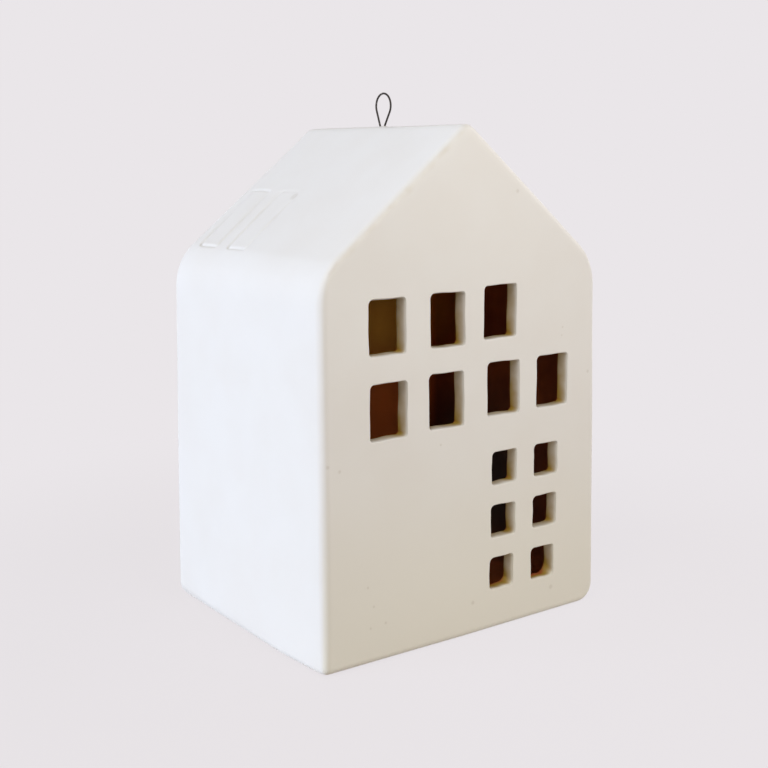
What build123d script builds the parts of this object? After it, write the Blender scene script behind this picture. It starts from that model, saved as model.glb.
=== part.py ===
from build123d import *
from math import acos, atan2, cos, degrees, hypot, sin
import os

# Tealight house: a hollow glazed casting in the shape of a gabled town house, with windows
# and door panes cut through its front, a wire hanging loop in its ridge and a tealight that
# slides in through an arched doorway in its back.
# Millimetres. +Z is up, the windowed front faces -Y, and the origin is the middle of the
# underside. Heights and depths taper a little, as a piece that leaves a mould does.

# House: outer form. The height is to the line where the two roof slopes would meet.
house_height = 130.0
eave_height = 94.5
base_width = 91.5
eave_width = 88.5
base_depth = 72.0
top_depth = 68.6

# House: thickness of the cast walls and of the floor
wall = 3.3
floor_thickness = 4.2

# House: roundings outside
foot_radius = 5.0
eave_radius = 14.5
crest_radius = 3.5
gable_edge_radius = 1.8

# House: roundings inside, where the slip gathers in the corners
inner_foot_radius = 5.0
inner_eave_radius = 11.0
inner_crest_radius = 3.0
inner_edge_radius = 2.5

# Front windows, four columns by two rows with one place left blind.
# Places are window centres, and the shares say how far each hand cut strays from its place.
window_width = 10.6
window_height = 13.1
first_column_x = -25.2
column_pitch = 18.0
lower_row_z = 63.15
row_pitch = 19.7
cut_wander = 0.9
window_shares = [
    (0, 0, 0.10, -0.95),
    (1, 0, -0.05, -0.45),
    (2, 0, 0.70, 0.75),
    (3, 0, -0.50, 0.90),
    (0, 1, 0.05, -0.60),
    (1, 1, 0.25, -0.35),
    (2, 1, -0.75, 0.50),
]

# Door panes in the front, two columns by three rows
pane_width = 8.1
pane_height = 8.2
first_pane_x = 11.35
pane_column_pitch = 14.75
lowest_pane_z = 15.3
pane_row_pitch = 13.85
pane_shares = [
    (0, 0, -0.55, 0.15),
    (1, 0, -0.60, -0.30),
    (0, 1, -0.10, 0.15),
    (1, 1, 0.05, -0.05),
    (0, 2, 0.40, 0.20),
    (1, 2, 0.30, 0.00),
]

# Edges of every cut: the corner in its outline and the glazed lip on its outer rim
cut_corner_radius = 0.9
cut_lip_radius = 0.45

# Arched doorway in the back, whose sill is level with the floor inside
door_width = 52.0
door_height = 38.0
door_lip_radius = 0.8

# Two skylights pressed as outlines into the left roof slope.
# Distances along the slope start at the line where the slopes would meet.
skylight_width = 8.7
skylight_length = 22.4
skylight_from_crest = 28.0
first_skylight_y = 11.35
skylight_pitch = 14.5
skylight_groove = 1.2
skylight_groove_depth = 0.5
skylight_corner_radius = 1.2
skylight_count = 2

# Hanging loop of round wire. The eye leans a little to the front, and the ends are bent out
# under the ridge, so that the loop can't pull through.
wire_diameter = 0.5
eye_radius = 3.15
eye_above_crest = 5.2
eye_lean = 0.45
leg_spacing = 1.85
loop_y = 0.6
leg_bend_radius = 1.2
foot_bend_radius = 0.6
foot_length = 3.0
leg_hole_clearance = 0.15
foot_clearance = 0.1

# Tealight
cup_base_diameter = 36.8
cup_rim_diameter = 38.0
cup_height = 15.0
cup_wall = 0.25
cup_corner_radius = 1.2
rim_bead_radius = 0.45
wax_below_rim = 2.2
wick_diameter = 1.3
wick_above_wax = 7.0
wick_straight = 3.0
wick_curl_radius = 6.0
sustainer_diameter = 13.0
sustainer_thickness = 0.25
neck_diameter = 2.4
neck_height = 4.0

# Clearances: between the tealight and the floor, and between the pieces of the tealight
seat_gap = 0.2
inner_gap = 0.1

# How far every cutting shape runs past the surface that it cuts
overrun = 1.0

# Worked out from the sizes above
roof_run = eave_width / 2
roof_rise = house_height - eave_height
roof_pitch = atan2(roof_rise, roof_run)
wall_lean = (base_width - eave_width) / 2 / eave_height


def crest_level(inset, radius):
    """Height of the rounded top of the roof, for a form that lies an inset inside the outer one."""
    return house_height - (inset + radius) / cos(roof_pitch) + radius


def gable_points(inset, floor_level):
    """Corners of the gable outline, drawn an inset inside the outer one and cut off at the floor."""
    crest = house_height - inset / cos(roof_pitch)
    slope = roof_rise / roof_run
    foot_x = base_width / 2 - inset * hypot(1, wall_lean)
    eave_x = (foot_x - wall_lean * crest) / (1 - wall_lean * slope)
    eave_z = crest - slope * eave_x
    floor_x = foot_x - wall_lean * floor_level
    return [
        (floor_x, floor_level),
        (eave_x, eave_z),
        (0, crest),
        (-eave_x, eave_z),
        (-floor_x, floor_level),
    ]


def side_points(inset):
    """Corners of the form seen from the side, where front and back lean in towards the top."""
    foot_y = base_depth / 2 - inset
    top_y = top_depth / 2 - inset
    return [(-foot_y, 0), (foot_y, 0), (top_y, house_height), (-top_y, house_height)]


def gabled_form(inset, floor_level, foot, eave, crest, edge):
    """Solid with the gable outline and the leaning front and back, all its edges rounded."""
    with BuildPart() as form:
        with BuildSketch(Plane.XZ) as gable:
            with BuildLine():
                Polyline(*gable_points(inset, floor_level), close=True)
            make_face()
            fillet(gable.vertices().group_by(Axis.Y)[-1], radius=crest)
            fillet(gable.vertices().group_by(Axis.Y)[1], radius=eave)
            fillet(gable.vertices().group_by(Axis.Y)[0], radius=foot)
        extrude(amount=base_depth, both=True)
        with BuildSketch(Plane.YZ):
            with BuildLine():
                Polyline(*side_points(inset), close=True)
            make_face()
        extrude(amount=base_width, both=True, mode=Mode.INTERSECT)
        by_depth = form.faces().sort_by(Axis.Y)
        fillet(by_depth[0].edges() + by_depth[-1].edges(), radius=edge)
    return form.part


def cut_places(shares, first_place, pitches):
    """Centres of a group of cuts, each strayed from its column and row by its own shares."""
    first_x, first_z = first_place
    pitch_x, pitch_z = pitches
    return [
        (
            first_x + column * pitch_x + stray_x * cut_wander,
            first_z + row * pitch_z + stray_z * cut_wander,
        )
        for column, row, stray_x, stray_z in shares
    ]


def pierced_faces(builder):
    """Flat faces that something has been cut through."""
    flat_faces = builder.faces().filter_by(GeomType.PLANE)
    return flat_faces.filter_by(lambda face: len(face.inner_wires()) > 0)


window_places = cut_places(
    window_shares, (first_column_x, lower_row_z), (column_pitch, row_pitch)
)
pane_places = cut_places(
    pane_shares, (first_pane_x, lowest_pane_z), (pane_column_pitch, pane_row_pitch)
)
outside_roundings = [foot_radius, eave_radius, crest_radius, gable_edge_radius]
inside_roundings = [inner_foot_radius, inner_eave_radius, inner_crest_radius, inner_edge_radius]
widest_depth = max(base_depth, top_depth)
narrowest_depth = min(base_depth, top_depth)
wall_reach = (widest_depth - narrowest_depth) / 2 + wall + overrun

# House shell: one casting with its floor, cut at the front and at the back
with BuildPart() as house_shell:
    add(gabled_form(0, 0, *outside_roundings))
    add(gabled_form(wall, floor_thickness, *inside_roundings), mode=Mode.SUBTRACT)

    # Windows and door panes
    with BuildSketch(Plane.XZ.offset(widest_depth / 2 + overrun)):
        with Locations(*window_places):
            RectangleRounded(window_width, window_height, cut_corner_radius)
        with Locations(*pane_places):
            RectangleRounded(pane_width, pane_height, cut_corner_radius)
    extrude(amount=-(wall_reach + overrun), mode=Mode.SUBTRACT)
    front_face = pierced_faces(house_shell).sort_by(Axis.Y)[0]
    fillet(front_face.inner_wires().edges(), radius=cut_lip_radius)

    # Doorway: straight sides up to the spring of a half-round arch
    spring_height = door_height - door_width / 2
    with BuildSketch(Plane.XZ.offset(-(widest_depth / 2 + overrun))):
        with Locations((0, floor_thickness + spring_height)):
            Circle(door_width / 2)
        with Locations((0, floor_thickness)):
            Rectangle(door_width, spring_height, align=(Align.CENTER, Align.MIN))
            Rectangle(door_width, door_width, align=(Align.CENTER, Align.MAX), mode=Mode.SUBTRACT)
    extrude(amount=wall_reach + inner_foot_radius, mode=Mode.SUBTRACT)
    back_face = pierced_faces(house_shell).sort_by(Axis.Y)[-1]
    fillet(back_face.inner_wires().edges(), radius=door_lip_radius)

    # Skylight outlines on the left slope, drawn from the meeting line of the slopes downwards
    left_slope = Plane(
        origin=(0, 0, house_height), x_dir=(0, 1, 0), z_dir=(-sin(roof_pitch), 0, cos(roof_pitch))
    )
    outline_width = skylight_width + skylight_groove
    outline_length = skylight_length + skylight_groove
    island_width = skylight_width - skylight_groove
    island_length = skylight_length - skylight_groove
    with BuildSketch(left_slope):
        for number in range(skylight_count):
            skylight_y = first_skylight_y + number * skylight_pitch
            with Locations((skylight_y, skylight_from_crest + skylight_length / 2)):
                RectangleRounded(outline_width, outline_length, skylight_corner_radius)
                Rectangle(island_width, island_length, mode=Mode.SUBTRACT)
    extrude(amount=-skylight_groove_depth, mode=Mode.SUBTRACT)

    # Two holes in the ridge for the legs of the hanging loop
    ridge_underside = crest_level(wall, inner_crest_radius)
    with BuildSketch(Plane.XY.offset(house_height)):
        with Locations((0, loop_y - leg_spacing / 2), (0, loop_y + leg_spacing / 2)):
            Circle(wire_diameter / 2 + leg_hole_clearance)
    extrude(amount=-(house_height - ridge_underside + overrun), mode=Mode.SUBTRACT)

# Hanging loop: foot, leg, round eye, leg and foot in one wire, which stands along the ridge
ridge_top = crest_level(0, crest_radius)
foot_z = ridge_underside - foot_clearance - wire_diameter / 2
eye_y = loop_y - eye_lean
eye_z = ridge_top + eye_above_crest


def leg_points(side):
    """Foot end, foot bend and ridge corner of the leg on one side, then where it meets the eye."""
    leg_y = loop_y + side * leg_spacing / 2
    reach = hypot(leg_y - eye_y, ridge_top - eye_z)
    bearing = atan2(ridge_top - eye_z, leg_y - eye_y) + side * acos(eye_radius / reach)
    touch = (eye_y + eye_radius * cos(bearing), eye_z + eye_radius * sin(bearing))
    foot_end = (leg_y + side * foot_length, foot_z)
    return [foot_end, (leg_y, foot_z), (leg_y, ridge_top), touch], degrees(bearing)


with BuildPart() as hanging_loop:
    back_points, back_bearing = leg_points(1)
    front_points, front_bearing = leg_points(-1)
    with BuildLine(Plane.YZ):
        back_leg = FilletPolyline(*back_points, radius=[foot_bend_radius, leg_bend_radius])
        CenterArc((eye_y, eye_z), eye_radius, back_bearing, 360 + front_bearing - back_bearing)
        FilletPolyline(*front_points, radius=[foot_bend_radius, leg_bend_radius])
    with BuildSketch(Plane(origin=back_leg @ 0, z_dir=back_leg % 0)):
        Circle(wire_diameter / 2)
    sweep()

# Tealight cup: thin sheet with a rolled rim
cup_base_z = floor_thickness + seat_gap
cup_rim_z = cup_base_z + cup_height
cup_base_radius = cup_base_diameter / 2
cup_rim_radius = cup_rim_diameter / 2
cup_flare = (cup_rim_radius - cup_base_radius) / cup_height

with BuildPart() as tealight_cup:
    with BuildSketch(Plane.XZ) as cup_outline:
        with BuildLine():
            Polyline(
                (0, cup_base_z),
                (cup_base_radius, cup_base_z),
                (cup_rim_radius, cup_rim_z),
                (cup_rim_radius - cup_wall, cup_rim_z),
                (cup_base_radius - cup_wall, cup_base_z + cup_wall),
                (0, cup_base_z + cup_wall),
                close=True,
            )
        make_face()
        low_corners = cup_outline.vertices().group_by(Axis.Y)
        fillet(low_corners[0].sort_by(Axis.X)[-1], radius=cup_corner_radius)
        inner_corner = cup_outline.vertices().sort_by_distance(
            (cup_base_radius - cup_wall, cup_base_z + cup_wall)
        )[0]
        fillet(inner_corner, radius=cup_corner_radius - cup_wall)
        with Locations((cup_rim_radius, cup_rim_z)):
            Circle(rim_bead_radius)
    revolve(axis=Axis.Z)

# Wick sustainer: a flat tab with a neck crimped round the wick, on the bottom of the cup
sustainer_z = cup_base_z + cup_wall + inner_gap
wick_hole_radius = wick_diameter / 2 + inner_gap

with BuildPart() as wick_sustainer:
    with BuildSketch(Plane.XZ):
        with BuildLine():
            Polyline(
                (wick_hole_radius, sustainer_z),
                (sustainer_diameter / 2, sustainer_z),
                (sustainer_diameter / 2, sustainer_z + sustainer_thickness),
                (neck_diameter / 2, sustainer_z + sustainer_thickness),
                (neck_diameter / 2, sustainer_z + neck_height),
                (wick_hole_radius, sustainer_z + neck_height),
                close=True,
            )
        make_face()
    revolve(axis=Axis.Z)

# Wax, with a pocket for the sustainer and a bore for the wick
wax_top_z = cup_rim_z - wax_below_rim
wax_base_z = sustainer_z
wax_base_radius = cup_base_radius - cup_wall - inner_gap + cup_flare * (wax_base_z - cup_base_z)
wax_top_radius = cup_base_radius - cup_wall - inner_gap + cup_flare * (wax_top_z - cup_base_z)

with BuildPart() as tealight_wax:
    with BuildSketch(Plane.XZ) as wax_outline:
        with BuildLine():
            Polyline(
                (wick_hole_radius, wax_top_z),
                (wax_top_radius, wax_top_z),
                (wax_base_radius, wax_base_z),
                (sustainer_diameter / 2 + inner_gap, wax_base_z),
                (sustainer_diameter / 2 + inner_gap, sustainer_z + sustainer_thickness + inner_gap),
                (neck_diameter / 2 + inner_gap, sustainer_z + sustainer_thickness + inner_gap),
                (neck_diameter / 2 + inner_gap, sustainer_z + neck_height + inner_gap),
                (wick_hole_radius, sustainer_z + neck_height + inner_gap),
                close=True,
            )
        make_face()
        base_corner = wax_outline.vertices().sort_by_distance((wax_base_radius, wax_base_z))[0]
        fillet(base_corner, radius=cup_corner_radius - cup_wall)
    revolve(axis=Axis.Z)

# Wick: straight through the wax, then curled to one side above it
curl_start_z = wax_top_z + wick_straight
curl_turn = (wick_above_wax - wick_straight) / wick_curl_radius
curl_end_y = -wick_curl_radius * (1 - cos(curl_turn))
curl_end_z = curl_start_z + wick_curl_radius * sin(curl_turn)

with BuildPart() as tealight_wick:
    with BuildLine(Plane.YZ):
        stem = Line((0, sustainer_z), (0, curl_start_z))
        TangentArc(stem @ 1, (curl_end_y, curl_end_z), tangent=stem % 1)
    with BuildSketch(Plane.XY.offset(sustainer_z)):
        Circle(wick_diameter / 2)
    sweep()

# Labels and files
os.makedirs("parts", exist_ok=True)
house_shell.part.label = "house_shell"
export_step(house_shell.part, "parts/house_shell.step")
hanging_loop.part.label = "hanging_loop"
export_step(hanging_loop.part, "parts/hanging_loop.step")
tealight_cup.part.label = "tealight_cup"
export_step(tealight_cup.part, "parts/tealight_cup.step")
wick_sustainer.part.label = "wick_sustainer"
export_step(wick_sustainer.part, "parts/wick_sustainer.step")
tealight_wax.part.label = "tealight_wax"
export_step(tealight_wax.part, "parts/tealight_wax.step")
tealight_wick.part.label = "tealight_wick"
export_step(tealight_wick.part, "parts/tealight_wick.step")
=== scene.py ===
"""Looks of a glazed ceramic tealight house, dressed round its measured solids.

Lengths are in millimetres, in the frame of the solids: +Z is up, the windowed front faces -Y and
the origin is the middle of the underside. They become metres as each mesh is made.
"""

import logging
import math
from dataclasses import dataclass
from enum import Enum
from functools import partial, reduce
from itertools import product
from typing import Mapping, Sequence, Union

import bmesh
import bpy
import numpy as np
from mathutils import Matrix, Vector


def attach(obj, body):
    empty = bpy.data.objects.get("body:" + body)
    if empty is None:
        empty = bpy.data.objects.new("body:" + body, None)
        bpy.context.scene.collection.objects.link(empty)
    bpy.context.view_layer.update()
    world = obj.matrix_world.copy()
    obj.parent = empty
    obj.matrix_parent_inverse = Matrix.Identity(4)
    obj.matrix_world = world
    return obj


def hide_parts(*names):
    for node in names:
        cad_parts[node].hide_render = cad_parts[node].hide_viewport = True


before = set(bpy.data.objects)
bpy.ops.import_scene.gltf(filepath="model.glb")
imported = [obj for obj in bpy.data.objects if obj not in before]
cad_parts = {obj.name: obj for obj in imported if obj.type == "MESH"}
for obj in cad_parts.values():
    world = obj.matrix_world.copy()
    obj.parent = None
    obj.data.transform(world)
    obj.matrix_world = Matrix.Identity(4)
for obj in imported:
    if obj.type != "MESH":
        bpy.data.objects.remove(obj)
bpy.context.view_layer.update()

METRES = 0.001
log = logging.getLogger("tealight_house")

Colour = tuple[float, float, float, float]
Place = tuple[float, float, float]
Span = tuple[float, float]
Socket = bpy.types.NodeSocket


# Colours


def paint(red: float, green: float, blue: float) -> Colour:
    """Turn a colour as it is seen on a screen into the linear one that a shader takes.

    Each channel c from 0 to 255 becomes ((c / 255 + 0.055) / 1.055) ^ 2.4.

    Args:
        red: Red from 0 to 255.
        green: Green from 0 to 255.
        blue: Blue from 0 to 255.

    Returns:
        Red, green, blue and a full alpha.
    """
    linear = [((channel / 255.0 + 0.055) / 1.055) ** 2.4 for channel in (red, green, blue)]
    return (linear[0], linear[1], linear[2], 1.0)


# Node trees written as expressions


@dataclass(frozen=True)
class Reading:
    """A number that varies over a surface and can be used in ordinary arithmetic."""

    bench: "Bench"
    socket: Socket

    def __add__(self, other: "Amount") -> "Reading":
        """Sum with a number or another reading."""
        return self.bench.sum_up("ADD", self, other)

    def __radd__(self, other: "Amount") -> "Reading":
        """Sum with the number on the left."""
        return self.bench.sum_up("ADD", other, self)

    def __sub__(self, other: "Amount") -> "Reading":
        """Difference from a number or another reading."""
        return self.bench.sum_up("SUBTRACT", self, other)

    def __rsub__(self, other: "Amount") -> "Reading":
        """Difference of the number on the left from this one."""
        return self.bench.sum_up("SUBTRACT", other, self)

    def __mul__(self, other: "Amount") -> "Reading":
        """Product with a number or another reading."""
        return self.bench.sum_up("MULTIPLY", self, other)

    def most(self, other: "Amount") -> "Reading":
        """The larger of the two."""
        return self.bench.sum_up("MAXIMUM", self, other)

    def step(self, low: float, high: float) -> "Reading":
        """Smooth rise from 0 at low to 1 at high, or a fall where low is the larger.

        Args:
            low: Where the result is 0.
            high: Where the result is 1.

        Returns:
            3 t^2 - 2 t^3, where t is the share of the way, held between 0 and 1.
        """
        rising = low < high
        ends = (low, high) if rising else (high, low)
        span = self.bench.node(
            "ShaderNodeMapRange",
            {"interpolation_type": "SMOOTHSTEP"},
            {"Value": self, "From Min": ends[0], "From Max": ends[1],
             "To Min": 0.0 if rising else 1.0, "To Max": 1.0 if rising else 0.0},
        )
        return Reading(self.bench, span.outputs["Result"])

    def over(self, span: Span) -> "Reading":
        """Smooth rise of a coordinate in metres over a span given in millimetres."""
        return self.step(span[0] * METRES, span[1] * METRES)


Amount = Union[float, Reading]
Feed = Union[float, Sequence[float], Socket, Reading]


@dataclass(frozen=True)
class Spot:
    """A round place on a piece, in millimetres."""

    place: Place
    radius: float


class Owner(Enum):
    """What a node tree belongs to: where that is kept, and the node that ends the tree."""

    MATERIAL = ("materials", "ShaderNodeOutputMaterial")
    WORLD = ("worlds", "ShaderNodeOutputWorld")


class Bench:
    """Node tree of one material or world, with one method for any node in it."""

    def __init__(self, name: str, owner: Owner = Owner.MATERIAL) -> None:
        """Start a tree that holds only its output.

        Args:
            name: Name of the material or world.
            owner: Which of the two it is.
        """
        library, ending = owner.value
        self.owner = getattr(bpy.data, library).new(name)
        self.owner.use_nodes = True
        self.tree = self.owner.node_tree
        self.tree.nodes.clear()
        self.output = self.node(ending)

    def node(
        self,
        kind: str,
        settings: Mapping[str, object] | None = None,
        feeds: Mapping[Union[str, int], Feed] | None = None,
    ) -> bpy.types.Node:
        """Add one node: its settings first, then what its sockets hold or are linked to.

        Args:
            kind: Type of the node.
            settings: Properties of the node, such as an operation.
            feeds: Values or links, by the name or the number of the socket.

        Returns:
            The new node.
        """
        made = self.tree.nodes.new(kind)
        for name, value in (settings or {}).items():
            setattr(made, name, value)
        for key, feed in (feeds or {}).items():
            target = made.inputs[key]
            if isinstance(feed, Reading):
                self.tree.links.new(feed.socket, target)
            elif isinstance(feed, bpy.types.NodeSocket):
                self.tree.links.new(feed, target)
            else:
                target.default_value = feed
        return made

    def sum_up(self, operation: str, first: Amount, second: Amount) -> Reading:
        """One Math node.

        Args:
            operation: What it does.
            first: Its first number.
            second: Its second number.

        Returns:
            Its result.
        """
        made = self.node("ShaderNodeMath", {"operation": operation}, {0: first, 1: second})
        return Reading(self, made.outputs[0])

    def place(self) -> Socket:
        """Object coordinates, in metres, which are the frame's own."""
        return self.node("ShaderNodeTexCoord").outputs["Object"]

    def axes(self, vector: Socket) -> list[Reading]:
        """The three numbers of a vector."""
        made = self.node("ShaderNodeSeparateXYZ", feeds={"Vector": vector})
        return [Reading(self, number) for number in made.outputs]

    def stretched(self, vector: Socket, scale: Sequence[float]) -> Socket:
        """The vector with each axis multiplied by its own factor."""
        made = self.node("ShaderNodeVectorMath", {"operation": "MULTIPLY"}, {0: vector, 1: scale})
        return made.outputs["Vector"]

    def attribute(self, name: str) -> Reading:
        """A number stored on the points of the piece."""
        made = self.node("ShaderNodeAttribute", {"attribute_name": name})
        return Reading(self, made.outputs["Fac"])

    def noise(self, vector: Socket, size: float, detail: float = 3.0, roughness: float = 0.5) -> Reading:
        """Cloudy noise between 0 and 1.

        Args:
            vector: Where it is read, in metres.
            size: Size of its largest lumps in millimetres.
            detail: How many finer layers lie on them.
            roughness: How strong the finer layers are.

        Returns:
            The noise.
        """
        feeds = {
            "Vector": vector, "Scale": 1.0 / (size * METRES), "Detail": detail, "Roughness": roughness
        }
        return Reading(self, self.node("ShaderNodeTexNoise", feeds=feeds).outputs["Fac"])

    def blend(self, share: Amount, first: Feed, second: Feed) -> Socket:
        """Mix of two colours: the first at share 0, the second at share 1."""
        made = self.node("ShaderNodeMix", {"data_type": "RGBA"}, {0: share, 6: first, 7: second})
        return made.outputs[2]

    def near(self, vector: Socket, spot: Spot) -> Reading:
        """Mask of a spot, with a soft border that takes up most of its radius.

        Args:
            vector: Object coordinates in metres.
            spot: The spot.

        Returns:
            1 in the middle of the spot and 0 outside it.
        """
        centre = [coordinate * METRES for coordinate in spot.place]
        made = self.node("ShaderNodeVectorMath", {"operation": "DISTANCE"}, {0: vector, 1: centre})
        return Reading(self, made.outputs["Value"]).over((spot.radius, 0.3 * spot.radius))

    def bump(self, height: Reading, distance: float) -> Socket:
        """Normal bent by a height, where a height of 1 stands for a distance in millimetres."""
        return self.node(
            "ShaderNodeBump", feeds={"Height": height, "Distance": distance * METRES}
        ).outputs["Normal"]

    def seen(self) -> Reading:
        """Tell the rays that look at a surface from those that only light others.

        Returns:
            1 for a ray from the camera, a gloss or a glass, and 0 for any other.
        """
        path = self.node("ShaderNodeLightPath")
        camera, glossy, through = (
            Reading(self, path.outputs[f"Is {kind} Ray"]) for kind in ("Camera", "Glossy", "Transmission")
        )
        return camera.most(glossy).most(through)

    def mixed(self, share: Amount, first: bpy.types.Node, second: bpy.types.Node) -> Socket:
        """Mix of two shaders: the first at share 0, the second at share 1."""
        feeds = {0: share, 1: first.outputs[0], 2: second.outputs[0]}
        return self.node("ShaderNodeMixShader", feeds=feeds).outputs[0]

    def end(self, shader: Socket) -> None:
        """Link a shader to the output."""
        self.tree.links.new(shader, self.output.inputs["Surface"])

    def surface(self, feeds: Mapping[Union[str, int], Feed]) -> bpy.types.Material:
        """End the tree in one Principled shader.

        Args:
            feeds: Values or links of that shader.

        Returns:
            The finished material.
        """
        shader = self.node("ShaderNodeBsdfPrincipled", feeds=feeds)
        self.end(shader.outputs["BSDF"])
        return self.owner


# Finishes


@dataclass(frozen=True)
class WhiteGlaze:
    """Satin white glaze over brown clay, which shows where the glaze thins out and ends."""

    cool_white: Colour = paint(240, 239, 237)
    warm_white: Colour = paint(238, 236, 233)
    # Painted warm shade: the white of the front turns a little yellower towards the bottom.
    painted_low_shade_white: Colour = paint(240, 238, 229)
    thin_glaze: Colour = paint(172, 142, 58)
    # Painted light: a pool of light on the back wall inside, where the windows face it.
    painted_window_light: Colour = paint(255, 200, 88)
    clay: Colour = paint(180, 98, 44)
    dark_clay: Colour = paint(142, 70, 30)
    # Painted shade: the clay of the right wall inside is darkened low down.
    painted_right_wall_shade: Colour = paint(48, 30, 15)
    # Painted light: the clay of the back wall inside is lighter all over.
    painted_back_wall_light: Colour = paint(228, 124, 54)
    speck: Colour = paint(168, 156, 138)
    speck_share: float = 0.20
    painted_back_wall_light_share: float = 0.8
    uneven: float = 0.22
    glazed_cover: Span = (0.30, 0.52)
    thick_cover: Span = (0.50, 0.92)
    low_rise: Span = (60.0, 4.0)
    front_face: Span = (-34.3, -35.1)
    right_wall: Span = (36.0, 40.0)
    back_wall: Span = (27.5, 31.5)
    coat_weight: float = 0.15
    coat_roughness: float = 0.34
    bare_roughness: float = 0.82
    glazed_roughness: float = 0.48
    relief: float = 0.12
    # Where the painted pool of light lies on the back wall.
    painted_window_light_spot: Spot = Spot((24.0, 32.0, 78.0), 26.0)
    # Where the painted shade lies on the right wall.
    painted_shade_spot: Spot = Spot((42.0, 12.0, 26.0), 42.0)
    pits: tuple[Spot, ...] = (
        Spot((15.8, -34.5, 112.7), 0.74),
        Spot((32.2, -35.0, 77.3), 0.47),
        Spot((31.9, -35.0, 75.2), 0.41),
        Spot((41.8, -35.2, 64.6), 0.68),
        Spot((-39.3, -35.3, 49.5), 0.61),
        Spot((-42.6, -35.3, 51.0), 0.68),
        Spot((-9.1, -35.3, 51.6), 0.47),
        Spot((-31.7, -35.7, 19.9), 0.47),
        Spot((-30.0, -35.8, 14.8), 0.47),
        Spot((-31.0, -35.9, 9.5), 0.47),
        Spot((-26.5, -35.9, 9.9), 0.54),
        Spot((29.1, -35.9, 7.0), 0.94),
        Spot((1.4, -35.9, 8.7), 0.81),
        Spot((-23.3, 7.5, 111.3), 1.70),
    )

    def make(self) -> bpy.types.Material:
        """Build the material.

        The attribute cover is 1 on glazed faces and falls to 0 in the cuts and inside. A little
        noise is added to it before it is read, so that the glaze ends in an uneven line. Low on
        the front the white is a little yellower, a painted warm shade. Inside, the clay of the back
        wall is painted lighter, with a painted pool of light where the windows face it, and the
        lower right wall is painted dark as shade.

        Returns:
            The material.
        """
        bench = Bench("white_glaze")
        place = bench.place()
        cloud = bench.noise(place, 18.0, 2.0)
        ripple = bench.noise(place, 4.5, 2.0)
        grain = bench.noise(place, 0.7, 4.0, 0.6)
        mottle = bench.noise(place, 16.0, 3.0)
        cover = bench.attribute("cover") + (ripple - 0.5) * self.uneven
        glazed = cover.step(*self.glazed_cover)
        pitted = reduce(Reading.most, [bench.near(place, pit) for pit in self.pits])

        across, back, up = bench.axes(place)
        # Painted warm shade: on the front the white turns a little yellower towards the bottom.
        low = up.over(self.low_rise) * back.over(self.front_face)
        even = bench.blend(cloud.step(0.25, 0.75), self.cool_white, self.warm_white)
        white = bench.blend(low, even, self.painted_low_shade_white)
        glaze = bench.blend(cover.step(*self.thick_cover), self.thin_glaze, white)
        spotted = bench.blend(pitted * self.speck_share, glaze, self.speck)

        bare = bench.blend(mottle.step(0.35, 0.7), self.dark_clay, self.clay)
        # Painted light on the back wall inside: lighter all over, and lighter still where the windows face
        # it.
        painted_back_wall_light = bench.blend(back.over(self.back_wall) * self.painted_back_wall_light_share, bare, self.painted_back_wall_light)
        window_lit_clay = bench.blend(bench.near(place, self.painted_window_light_spot), painted_back_wall_light, self.painted_window_light)
        # Painted shade on the lower right wall inside.
        painted_right_wall_shade = bench.near(place, self.painted_shade_spot) * across.over(self.right_wall)
        clay = bench.blend(painted_right_wall_shade, window_lit_clay, self.painted_right_wall_shade)

        smoother = self.bare_roughness - self.glazed_roughness
        height = ripple * 0.30 * glazed + grain * (0.16 - glazed * 0.13) * 1.6 - pitted * 0.15
        return bench.surface({
            "Base Color": bench.blend(glazed, clay, spotted),
            "Roughness": self.bare_roughness - glazed * smoother + (ripple - 0.5) * 0.08,
            "Coat Weight": glazed * self.coat_weight,
            "Coat Roughness": self.coat_roughness,
            "IOR": 1.5,
            "Normal": bench.bump(height, self.relief),
        })


@dataclass(frozen=True)
class DarkWire:
    """Heat-proof wire, dark with oxide, brighter where the oxide is thin."""

    oxide: Colour = paint(62, 58, 56)
    bright: Colour = paint(150, 146, 142)

    def make(self) -> bpy.types.Material:
        """Build the material: patches of oxide over metal, with fine drawing lines.

        Returns:
            The material.
        """
        bench = Bench("loop_wire")
        place = bench.place()
        patches = bench.noise(place, 1.4, 3.0)
        lines = bench.noise(bench.stretched(place, (9.0, 9.0, 1.2)), 0.5, 2.0)
        bare = patches.step(0.52, 0.72)
        return bench.surface({
            "Base Color": bench.blend(bare * 0.6, self.oxide, self.bright),
            "Roughness": 0.46 - bare * 0.14 + (lines - 0.5) * 0.12,
            "Metallic": 0.85,
            "Normal": bench.bump(lines, 0.01),
        })


@dataclass(frozen=True)
class DrawnAluminium:
    """Thin drawn aluminium sheet, half bright, with fine upright drawing marks."""

    light: Colour = paint(222, 223, 225)
    grey: Colour = paint(190, 191, 194)

    def make(self) -> bpy.types.Material:
        """Build the material: scuffs for the colour, drawing marks for gloss and height.

        Returns:
            The material.
        """
        bench = Bench("cup_aluminium")
        place = bench.place()
        scuffs = bench.noise(place, 5.0, 4.0, 0.6)
        marks = bench.noise(bench.stretched(place, (6.0, 6.0, 0.6)), 2.4, 3.0)
        return bench.surface({
            "Base Color": bench.blend(scuffs.step(0.35, 0.7), self.light, self.grey),
            "Roughness": 0.24 + scuffs * 0.14 + marks * 0.06,
            "Metallic": 1.0,
            "Normal": bench.bump(marks, 0.02),
        })


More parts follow.
